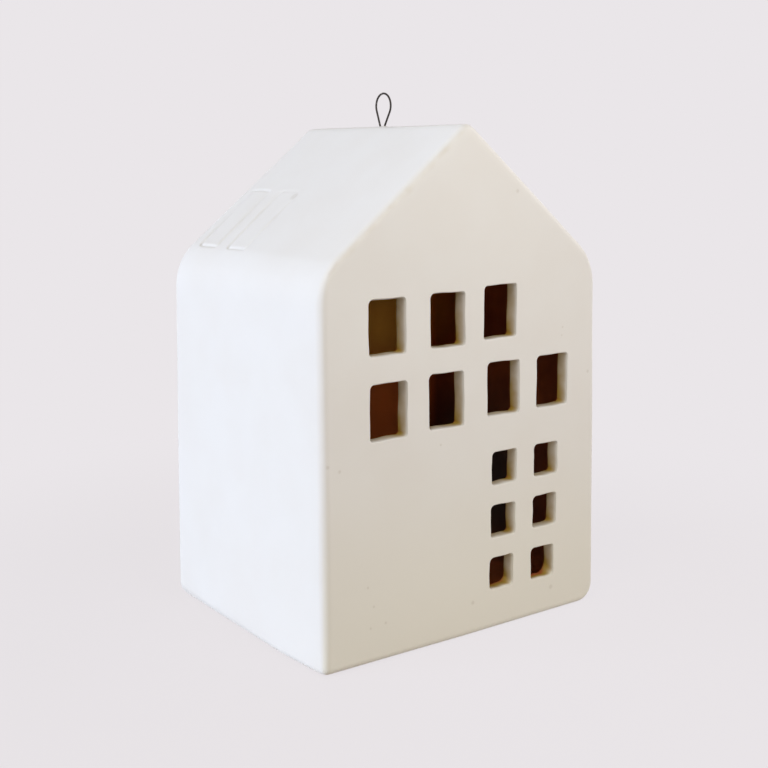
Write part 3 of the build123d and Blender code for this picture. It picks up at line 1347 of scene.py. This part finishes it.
    def on_face(self, face: Face, flat: np.ndarray, depth: np.ndarray | float) -> np.ndarray:
        """Put points on the leaning front or back.

        Args:
            face: Which of the two.
            flat: Points in X and Z.
            depth: Depth inside the outer face.

        Returns:
            Points in X, Y and Z.
        """
        y = face.value * (self.form.front(flat[..., 1]) + depth)
        return np.stack([flat[..., 0], y, flat[..., 1]], axis=-1)

    def stacked(self, face: Face, rings: Sequence[Ring]) -> Sheet:
        """Closed sheet of rings.

        Args:
            face: The face that they lie in or behind.
            rings: Points in X and Z, depth and cover of each ring.

        Returns:
            The sheet.
        """
        points = np.stack([self.on_face(face, flat, depth) for flat, depth, _ in rings])
        marks = np.stack([np.broadcast_to(cover, len(flat)) for flat, _, cover in rings])
        return Sheet(points, marks, closed=True)

    def cut_sheets(self, group: CutGroup) -> list[Sheet]:
        """Cells with an opening: outer face, lip, reveal, inner rim and inner face.

        The reveal narrows by the taper on its way in, and the glaze ends at the inner rim.

        Args:
            group: Openings of one kind.

        Returns:
            One closed sheet for each opening.
        """
        edge = self.edge
        lips = edge.lip_sizes()
        deep = self.wall - edge.inner_lip
        quarter = np.linspace(0.0, math.pi / 2, 6)
        sheets = []
        for cut in group.cuts:
            border = self.border(*group.cell(cut))
            outline = partial(edge.outline, group, cut)
            rim, inner_rim = outline(lips), outline(edge.inner_lip - edge.taper, 1.0)
            rings = [
                (between(border, rim, share), 0.0, 1.0) for share in (0.0, 0.30, 0.55, 0.74, 0.88, 0.96)
            ]
            rings += [
                (outline(lips * (1 - math.sin(angle))), lips * (1 - math.cos(angle)), 1.0)
                for angle in quarter
            ]
            rings += [
                (
                    outline(-edge.taper * share, share),
                    between(lips, deep, share),
                    edge.reveal_cover(cut, share),
                )
                for share in np.linspace(0.0, 1.0, 9)[1:]
            ]
            rings += [
                (
                    outline(-edge.taper + edge.inner_lip * (1 - math.cos(angle)), 1.0),
                    deep + edge.inner_lip * math.sin(angle),
                    edge.inner_cover,
                )
                for angle in quarter[1:]
            ]
            rings += [(between(inner_rim, border, share), self.wall, 0.0) for share in (0.25, 0.6, 1.0)]
            sheets.append(self.stacked(Face.FRONT, rings))
        return sheets

    def blind_sheets(self) -> list[Sheet]:
        """Cells without an opening, on the outer and the inner face of the front.

        Returns:
            Two open sheets for each such cell.
        """
        taken = {group.cell(cut) for group in (self.windows, self.panes) for cut in group.cuts}
        column_steps, row_steps = self.edge.counts
        across = np.linspace(0.0, 1.0, column_steps + 1)[None, :, None]
        up = np.linspace(0.0, 1.0, row_steps + 1)[:, None, None]
        rows, columns = self.cells
        sheets = []
        for row, column in product(range(rows), range(columns)):
            if (row, column) in taken:
                continue
            bottom, top = (
                between(self.corner(level, column), self.corner(level, column + 1), across)
                for level in (row, row + 1)
            )
            flat = between(bottom, top, up)
            for depth, cover in ((0.0, 1.0), (self.wall, 0.0)):
                sheets.append(Sheet(self.on_face(Face.FRONT, flat, depth), np.full(flat.shape[:2], cover)))
        return sheets

    def back_roundings(self, skin: Skin) -> np.ndarray:
        """Radius of the rounding between a skin and its back, nearly none at the sill.

        Args:
            skin: The skin.

        Returns:
            The radius at each point of the skin's loop.
        """
        loop = skin.loop()
        if skin.inset == 0.0:
            return np.full(len(loop), skin.radii.edge)
        beside = np.clip((np.abs(loop[:, 0]) - self.doorway.width / 2 - 0.5) / 9.0, 0.0, 1.0)
        on_floor = loop[:, 1] < self.floor + self.doorway.slack
        opened = np.where(on_floor, beside * beside * (3 - 2 * beside), 1.0)
        return self.doorway.least + (skin.radii.edge - self.doorway.least) * opened

    def front_roundings(self, skin: Skin) -> np.ndarray:
        """Radius of the rounding between a skin and its front.

        Args:
            skin: The skin.

        Returns:
            The radius at each point of the skin's loop.
        """
        loop = skin.loop(near=True)
        if skin.inset > 0.0:
            return np.full(len(loop), skin.radii.edge)
        return skin.radii.edge * self.settling.edge_growth(loop)

    def front_loop(self, skin: Skin, share: float) -> np.ndarray:
        """Loop round the front, a share of its rounding's radius inside the skin."""
        inset = (share * self.front_roundings(skin) / skin.radii.edge)[:, None]
        return between(skin.loop(near=True), skin.loop(skin.radii.edge, near=True), inset)

    def back_loop(self, skin: Skin, share: float) -> np.ndarray:
        """Loop round the back, a share of its rounding's radius inside the skin."""
        inset = (self.back_roundings(skin) / skin.radii.edge * share)[:, None]
        return between(skin.loop(), skin.loop(skin.radii.edge), inset)

    def wrap_sheet(self, skin: Skin, stations: np.ndarray, cover: float) -> Sheet:
        """Walls, roof and floor of a skin, with its rounded front and back edges.

        Each edge is a quarter circle of radius r: at angle a from the flat face the inset is
        r * (1 - sin a) and the depth r * (1 - cos a).

        Args:
            skin: The skin.
            stations: Stations from the front rounding to the back one.
            cover: Cover of its points.

        Returns:
            The closed sheet, from the front to the back.
        """
        front, back = self.front_roundings(skin), self.back_roundings(skin)
        quarter = np.linspace(0.0, math.pi / 2, 7)
        arc = [(1 - math.sin(angle), 1 - math.cos(angle)) for angle in quarter]
        opening = [
            self.on_face(Face.FRONT, self.front_loop(skin, inset), skin.inset + front * depth)
            for inset, depth in arc
        ]
        closing = [
            self.on_face(Face.BACK, self.back_loop(skin, inset), skin.inset + back * depth)
            for inset, depth in reversed(arc)
        ]
        middle = [between(opening[-1], closing[0], share) for share in stations[1:-1]]
        points = np.stack(opening + middle + closing)
        return Sheet(points, np.full(points.shape[:2], cover), closed=True)

    def press_roof(self, sheet: Sheet) -> None:
        """Press the skylights into the outer skin and raise a bead of glaze at each leg.

        A bead of height h stands h * exp(-(d / 0.6)^2) high at the distance d from its leg.

        Args:
            sheet: The outer skin, which is changed.
        """
        pitch = self.form.pitch
        x, y, z = (sheet.points[..., axis] for axis in range(3))
        down = -x * math.cos(pitch) + (self.form.height - z) * math.sin(pitch)
        on_slope = (x < -1.0) & (z > self.form.eave_height - 9.0)
        depth = np.where(on_slope, self.skylights.depth_at(down, y), 0.0)
        sheet.points[..., 0] += depth * math.sin(pitch)
        sheet.points[..., 2] -= depth * math.cos(pitch)
        for leg_y, height in self.wire_beads:
            bead = height * np.exp(-((np.hypot(x, y - leg_y) / self.bead_radius) ** 2))
            sheet.points[..., 2] += np.where(z > self.form.height - 8.0, bead, 0.0)

    def face_sheet(self, face: Face, hole: np.ndarray, rim: np.ndarray, steps: int, lining: bool) -> Sheet:
        """Flat ring in the front or back, between a hole and the rim.

        Args:
            face: Front or back.
            hole: Inner loop in X and Z.
            rim: Outer loop, which matches it point for point.
            steps: Steps from the hole to the rim.
            lining: True for the bare face inside, false for the glazed one outside.

        Returns:
            The closed sheet.
        """
        depth, cover = (self.wall, 0.0) if lining else (0.0, 1.0)
        shares = np.linspace(0.0, 1.0, steps + 1)
        return self.stacked(face, [(between(hole, rim, share), depth, cover) for share in shares])

    def doorway_sheets(self, outer: Skin, inner: Skin) -> list[Sheet]:
        """Back face, lip, tunnel, inner rim and inner back face round the doorway.

        Args:
            outer: The outer skin.
            inner: The inner skin.

        Returns:
            The tunnel with its two lips, and the faces outside and inside.
        """
        door, out, on_sill = self.doorway.match(inner.loop())
        lip = self.doorway.lip
        inner_lip = np.where(on_sill, self.doorway.least, self.doorway.inner_lip)
        quarter = np.linspace(0.0, math.pi / 2, 6)
        rings = [
            (door + out * lip * (1 - math.sin(angle)), lip * (1 - math.cos(angle)), 1.0)
            for angle in quarter
        ]
        rings += [
            (door, between(lip, self.wall - inner_lip, share), self.edge.outer_cover - 0.3 * share)
            for share in np.linspace(0.0, 1.0, 5)[1:]
        ]
        rings += [
            (
                door + out * (inner_lip * (1 - math.cos(angle)))[:, None],
                self.wall - inner_lip * (1 - math.sin(angle)),
                self.edge.inner_cover,
            )
            for angle in quarter[1:]
        ]
        hole, inner_hole = door + out * lip, door + out * inner_lip[:, None]
        rim, inner_rim = outer.loop(outer.radii.edge), self.back_loop(inner, 1.0)
        return [
            self.stacked(Face.BACK, rings),
            self.face_sheet(Face.BACK, hole, rim, self.back_steps, lining=False),
            self.face_sheet(Face.BACK, inner_hole, inner_rim, self.back_lining_steps, lining=True),
        ]

    def sheets(self) -> list[Sheet]:
        """Sheets of the whole casting, with no glaze on the foot that it stands on.

        Returns:
            Sheets that meet at shared points all round.
        """
        outer, inner = self.outer_skin(), self.inner_skin()
        wrap = self.wrap_sheet(outer, self.depth_stations(), 1.0)
        self.press_roof(wrap)
        wrap.marks *= np.clip((wrap.points[..., 2] - self.bare_foot) / self.foot_fade, 0.0, 1.0)
        border = self.border(0, 0, *self.cells)
        front_rim, lining_rim = self.front_loop(outer, 1.0), self.front_loop(inner, 1.0)
        return [
            wrap,
            self.wrap_sheet(inner, np.linspace(0.0, 1.0, self.inner_depth_steps + 1), 0.0),
            self.face_sheet(Face.FRONT, border, front_rim, self.front_steps, lining=False),
            self.face_sheet(Face.FRONT, border, lining_rim, self.front_lining_steps, lining=True),
            *self.cut_sheets(self.windows), *self.cut_sheets(self.panes), *self.blind_sheets(),
            *self.doorway_sheets(outer, inner),
        ]

    def swell_at(self, points: np.ndarray) -> np.ndarray:
        """How far the glazed faces lie inside their true planes, from 0 to the swell.

        It is swell * (0.5 + 0.36 a + 0.14 b), where a and b are slow waves of the place.

        Args:
            points: Points in millimetres.

        Returns:
            The depth at each point.
        """
        x, y, z = points[:, 0], points[:, 1], points[:, 2]
        first = np.sin(x / 13.0 + 0.6 * np.sin(z / 21.0) + 1.3) * np.cos(z / 17.0 + y / 15.0 + 0.4)
        second = np.sin(z / 7.5 + x / 9.0 - y / 11.0 + 2.0)
        return self.swell * (0.5 + 0.36 * first + 0.14 * second)

    def edge_shaded_cover(self, points: np.ndarray, depth: np.ndarray, cover: np.ndarray) -> np.ndarray:
        """Cover lowered along the front edge of the left slope and wall, which paints shade there.

        At the distance e inside the outline and the depth d behind the front it is less by
        drawn * exp(-((e - 1.1) / 1.2)^2) * exp(-(max(d - 0.5, 0) / 0.6)^2), and by less of that
        on the wall than on the slope.

        Args:
            points: Points in millimetres.
            depth: Depth of each point behind the front.
            cover: Cover at each point.

        Returns:
            The new cover.
        """
        x, z = points[:, 0], points[:, 2]
        from_slope = (self.form.height - z) * math.cos(self.form.pitch) + x * math.sin(self.form.pitch)
        from_wall = x + self.form.base_width / 2 - self.form.lean * z
        inside = np.minimum(from_slope, from_wall)
        share = np.where(from_slope < from_wall, 1.0, self.edge_shade_wall_share)
        near = np.exp(-(((inside - 1.1) / 1.2) ** 2)) * np.exp(-((np.maximum(depth - 0.5, 0.0) / 0.6) ** 2))
        return np.where(cover > 0.99, cover - self.drawn * share * near, cover)

    def build(self) -> bpy.types.Object:
        """Build the casting as one closed mesh, with slow waves in its glazed faces.

        Returns:
            The casting.
        """
        piece = make_piece("house_casting", self.sheets(), "cover")
        mesh = piece.data
        points, normals = read_points(mesh), read_normals(mesh)
        cover = np.empty(len(mesh.vertices), dtype=np.float32)
        mesh.attributes["cover"].data.foreach_get("value", cover)
        depth = points[:, 1] - self.form.front(points[:, 2])
        # Painted shade: lower cover along the front edge of the left slope and wall.
        thinned = self.edge_shaded_cover(points, depth, cover).astype(np.float32)
        mesh.attributes["cover"].data.foreach_set("value", thinned)
        glazed = np.clip((cover - 0.9) / 0.1, 0.0, 1.0) * np.clip(points[:, 2] / 2.0, 0.0, 1.0)
        swollen = points - normals * (self.swell_at(points) * glazed)[:, None]
        behind = np.maximum(swollen[:, 1] - self.form.front(swollen[:, 2]), 0.0)
        write_points(mesh, self.settling.moved(swollen, behind))
        return piece

    def fit(self) -> None:
        """Build, dress and fasten the casting, and dress the wire in its ridge."""
        casting = self.build()
        dress(casting, WhiteGlaze().make())
        carry(casting, "house", "white_glaze", "house_shell")
        dress(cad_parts["hanging_loop"], DarkWire().make())


# Tealight


@dataclass(frozen=True)
class Lathe:
    """Turns a profile about the upright axis in a number of steps."""

    steps: int

    def turn(self, profile: np.ndarray, ripple: np.ndarray | float = 0.0, waves: int = 0) -> Sheet:
        """Turn a profile into a closed sheet.

        A point with radius r and height z goes to (r cos a, r sin a, z), where r is widened by
        its ripple times cos(waves * a).

        Args:
            profile: Radius and height of each point.
            ripple: Height of the waves at each point of the profile.
            waves: Number of waves in one turn.

        Returns:
            The sheet: profile points by steps.
        """
        angle = np.linspace(0.0, 2 * math.pi, self.steps, endpoint=False)
        radius = profile[:, :1] + np.reshape(ripple, (-1, 1)) * np.cos(waves * angle)
        height = np.broadcast_to(profile[:, 1:], radius.shape)
        points = np.stack([radius * np.cos(angle), radius * np.sin(angle), height], axis=-1)
        return Sheet(points, np.zeros(radius.shape), closed=True)


@dataclass(frozen=True)
class Tealight:
    """The tealight: pleated cup with a rolled rim, wax and a braided wick."""

    base_z: float = 4.4
    base_radius: float = 18.4
    base_ring: float = 8.0
    rim_radius: float = 19.0
    height: float = 15.0
    sheet: float = 0.25
    corner: float = 1.2
    bead: float = 0.42
    pleats: int = 44
    pleat_depth: float = 0.12
    wax_below_rim: float = 2.2
    wax_dish: float = 0.3
    wax_mound: float = 0.54
    wax_edge: float = 0.35
    wick_radius: float = 0.62
    wick_above: float = 7.0
    wick_straight: float = 3.0
    curl_radius: float = 6.0
    braid_pitch: float = 3.2
    braid_share: float = 0.1
    cup_lathe: Lathe = Lathe(264)
    wax_lathe: Lathe = Lathe(96)

    def cup(self) -> bpy.types.Object:
        """Build the cup: base, pleated wall, rolled rim and the inside back to the middle.

        At the share s of the way up the wall a pleat is pleat_depth * min(1.6 sin(pi s), 1) deep.

        Returns:
            The cup.
        """
        rim_z = self.base_z + self.height
        bend = np.linspace(-math.pi / 2, 0.0, 9)
        corner = np.stack([
            self.base_radius - self.corner + self.corner * np.cos(bend),
            self.base_z + self.corner + self.corner * np.sin(bend),
        ], axis=-1)
        rim = np.array([[self.rim_radius, rim_z - self.bead]])
        wall = between(corner[-1:], rim, np.linspace(0.0, 1.0, 15)[1:, None])
        roll = np.linspace(-math.pi / 2 + 0.5, math.pi * 1.05, 15)
        bead = np.stack([
            self.rim_radius + self.bead * np.cos(roll), rim_z + self.bead * np.sin(roll)
        ], axis=-1)
        inside = np.concatenate([corner, wall])[::-1] - np.array([self.sheet, 0.0])
        inside[:, 1] = np.maximum(inside[:, 1], self.base_z + self.sheet)
        base = np.array([[0.0, self.base_z], [self.base_ring, self.base_z]])
        profile = np.concatenate([base, corner, wall, bead, inside, base[:1] + [0.0, self.sheet]])

        share = (profile[:, 1] - self.base_z - self.corner) / (self.height - 2 * self.corner)
        ripple = self.pleat_depth * np.clip(np.sin(np.clip(share, 0.0, 1.0) * math.pi) * 1.6, 0.0, 1.0)
        ripple = np.where(profile[:, 0] > self.base_radius - self.corner, ripple, 0.0)
        return make_piece("tealight_cup_pleated", [self.cup_lathe.turn(profile, ripple, self.pleats)])

    def wax(self) -> bpy.types.Object:
        """Build the wax: a filled cup with a raised edge, a dish and a small mound at the wick.

        With r the distance from the axis, e the edge's radius and s = r / e, the surface lies
        mound * exp(-(r / 1.1)^2) - dish * (1 - s^2)^2 - edge * (1 - exp(-(e - r) / 0.7)) above
        the edge.

        Returns:
            The wax.
        """
        top = self.base_z + self.height - self.wax_below_rim
        foot = self.base_z + self.sheet + 0.1
        slope = (self.rim_radius - self.base_radius) / self.height
        radius = self.base_radius - self.sheet - self.pleat_depth - 0.05
        edge = radius + slope * (top - self.base_z)
        reach = np.linspace(0.0, 1.0, 40) ** 0.8
        dish = self.wax_dish * (1 - reach ** 2) ** 2
        mound = self.wax_mound * np.exp(-((reach * edge / 1.1) ** 2))
        below_edge = self.wax_edge * (1 - np.exp(-((1 - reach) * edge / 0.7)))
        surface = np.stack([reach * edge, top + (mound - dish) - below_edge], axis=-1)[::-1]
        side = np.array([
            [0.0, foot], [radius - 1.0, foot], [radius - 0.3, foot + 0.3], [radius, foot + 1.0],
        ])
        return make_piece("tealight_wax_body", [self.wax_lathe.turn(np.concatenate([side, surface]))])

    def wick(self) -> bpy.types.Object:
        """Build the wick: a tube along its line, its skin raised in two crossing sets of strands.

        The line goes straight up and then along an arc towards the front. At the angle a and
        the length s the radius is r * (0.9 + 0.1 * |sin(2 a + k s) * sin(2 a - k s)|), and it
        narrows to nothing at both ends.

        Returns:
            The wick.
        """
        start = self.base_z + self.sheet + 0.15
        upright = self.base_z + self.height - self.wax_below_rim + self.wick_straight - start
        total = upright + self.wick_above - self.wick_straight
        way = np.linspace(0.0, total, 220)
        beyond = np.maximum(way - upright, 0.0) / self.curl_radius
        centre = np.stack([
            np.zeros_like(way),
            -self.curl_radius * (1 - np.cos(beyond)),
            start + np.minimum(way, upright) + self.curl_radius * np.sin(beyond),
        ], axis=-1)
        angle = np.linspace(0.0, 2 * math.pi, 40, endpoint=False)
        twist = 2 * math.pi / self.braid_pitch * way[:, None]
        braid = np.abs(np.sin(2 * angle + twist) * np.sin(2 * angle - twist))
        narrowed = np.clip(np.minimum(way / 0.2, (total - way) / 0.25), 0.0, 1.0) ** 0.5
        radius = self.wick_radius * (1 - self.braid_share + self.braid_share * braid) * narrowed[:, None]
        side = np.array([1.0, 0.0, 0.0])
        other = np.stack([np.zeros_like(way), np.cos(beyond), np.sin(beyond)], axis=-1)
        points = (
            centre[:, None, :]
            + (radius * np.cos(angle))[..., None] * side
            + (radius * np.sin(angle))[..., None] * other[:, None, :]
        )
        return make_piece("tealight_wick_braid", [Sheet(points, braid, closed=True)], "braid")

    def fit(self) -> None:
        """Build, dress and fasten the cup, the wax and the wick, and dress the sustainer."""
        for build, finish, slot, node in (
            (self.cup, DrawnAluminium(), "cup_aluminium", "tealight_cup"),
            (self.wax, CandleWax(), "candle_wax", "tealight_wax"),
            (self.wick, WickCotton(), "wick_cotton", "tealight_wick"),
        ):
            piece = build()
            dress(piece, finish.make())
            carry(piece, "tealight", slot, node)
        dress(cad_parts["wick_sustainer"], Tinplate().make())


# Stage


@dataclass(frozen=True)
class Lamp:
    """Soft square lamp, aimed at a point in the house."""

    name: str
    place: Place
    size: float
    watts: float
    colour: Colour
    shines: bool = True

    def hang(self, target: Vector) -> None:
        """Put the lamp into the scene, where one that doesn't shine gives no highlight.

        Args:
            target: The point that it looks at, in metres.
        """
        light = bpy.data.lights.new(self.name, "AREA")
        light.shape = "SQUARE"
        light.size = self.size * METRES
        light.energy = self.watts
        light.color = self.colour[:3]
        lamp = bpy.data.objects.new(self.name, light)
        lamp.visible_camera = False
        lamp.visible_glossy = self.shines
        spot = Vector(self.place) * METRES
        turned = (target - spot).to_track_quat("-Z", "Y").to_matrix().to_4x4()
        lamp.matrix_world = Matrix.Translation(spot) @ turned
        bpy.context.scene.collection.objects.link(lamp)


@dataclass(frozen=True)
class Stage:
    """Floor, world, lamps and camera."""

    backdrop: Colour = paint(234, 230, 233)
    card: Colour = paint(204, 198, 190)
    sky: Colour = paint(255, 248, 241)
    ambient: float = 0.27
    floor_half: float = 3000.0
    shadow_share: float = 0.10
    shadow_reach: Span = (80.0, 220.0)
    eye: Place = (-194.5, -260.3, 120.3)
    yaw: float = -36.75
    dip: float = -10.4
    roll: float = -0.13
    focal_share: float = 1219.0 / 768.0
    sensor: float = 36.0
    clip: Span = (10.0, 20000.0)
    target: Place = (0.0, 0.0, 65.0)
    lamps: tuple[Lamp, ...] = (
        Lamp("window_light", (-1600.0, 600.0, 160.0), 500.0, 28.5, paint(219, 233, 255), shines=False),
        Lamp("gable_light", (0.0, -200.0, 200.0), 120.0, 0.141, paint(240, 247, 252)),
        Lamp("fill_light", (420.0, -360.0, 260.0), 200.0, 0.55, paint(255, 240, 226)),
        Lamp("roof_light", (-600.0, -300.0, 800.0), 400.0, 1.90, paint(255, 242, 219)),
        Lamp("room_light", (-50.0, -360.0, 141.0), 60.0, 0.064, paint(255, 232, 196)),
        Lamp("side_light", (700.0, 60.0, 300.0), 400.0, 1.50, paint(250, 249, 255), shines=False),
    )

    def camera(self) -> None:
        """Camera at the place and angle of the photograph."""
        yaw, dip, roll = (math.radians(angle) for angle in (self.yaw, self.dip, self.roll))
        ahead = Vector((-math.sin(yaw) * math.cos(dip), math.cos(yaw) * math.cos(dip), math.sin(dip)))
        level = Vector((math.cos(yaw), math.sin(yaw), 0.0))
        over = level.cross(ahead)
        right = level * math.cos(roll) + over * math.sin(roll)
        up = over * math.cos(roll) - level * math.sin(roll)
        lens = bpy.data.cameras.new("camera")
        lens.sensor_width = self.sensor
        lens.lens = self.focal_share * self.sensor
        lens.clip_start, lens.clip_end = (distance * METRES for distance in self.clip)
        camera = bpy.data.objects.new("camera", lens)
        turned = Matrix((right, up, -ahead)).transposed().to_4x4()
        camera.matrix_world = Matrix.Translation(Vector(self.eye) * METRES) @ turned
        bpy.context.scene.collection.objects.link(camera)
        bpy.context.scene.camera = camera

    def world(self) -> None:
        """Plain world: backdrop colour for what looks at it, a softer light for the rest."""
        bench = Bench("studio", Owner.WORLD)
        light = bench.node("ShaderNodeBackground", feeds={"Color": self.sky, "Strength": self.ambient})
        view = bench.node("ShaderNodeBackground", feeds={"Color": self.backdrop})
        bench.end(bench.mixed(bench.seen(), light, view))
        bpy.context.scene.world = bench.owner

    def floor(self) -> None:
        """Pale floor that keeps a faint shadow near the house and fades into the backdrop."""
        bench = Bench("floor")
        distance = bench.node("ShaderNodeVectorMath", {"operation": "LENGTH"}, {0: bench.place()})
        away = Reading(bench, distance.outputs["Value"]).over(self.shadow_reach)
        seen = bench.seen()
        plain = seen * (1.0 - self.shadow_share + away * self.shadow_share)
        card = bench.blend(seen, self.card, self.backdrop)
        lit = bench.node("ShaderNodeBsdfDiffuse", feeds={"Color": card})
        glow = bench.node("ShaderNodeEmission", feeds={"Color": self.backdrop, "Strength": 1.0})
        bench.end(bench.mixed(plain, lit, glow))

        half = self.floor_half * METRES
        corners = [(-half, -half, 0.0), (half, -half, 0.0), (half, half, 0.0), (-half, half, 0.0)]
        mesh = bpy.data.meshes.new("floor")
        mesh.from_pydata(corners, [], [(0, 1, 2, 3)])
        mesh.materials.append(bench.owner)
        floor = bpy.data.objects.new("floor", mesh)
        bpy.context.scene.collection.objects.link(floor)

    def build(self) -> None:
        """Set up everything round the house."""
        self.camera()
        self.world()
        self.floor()
        for lamp in self.lamps:
            lamp.hang(Vector(self.target) * METRES)


def main() -> None:
    """Build the stage, the house and the tealight, and report each piece."""
    logging.basicConfig(level=logging.INFO, format="%(name)s: %(message)s")
    scene = bpy.context.scene
    scene.view_settings.view_transform = "Standard"
    Stage().build()

    House().fit()
    Tealight().fit()


if __name__ == "__main__":
    main()
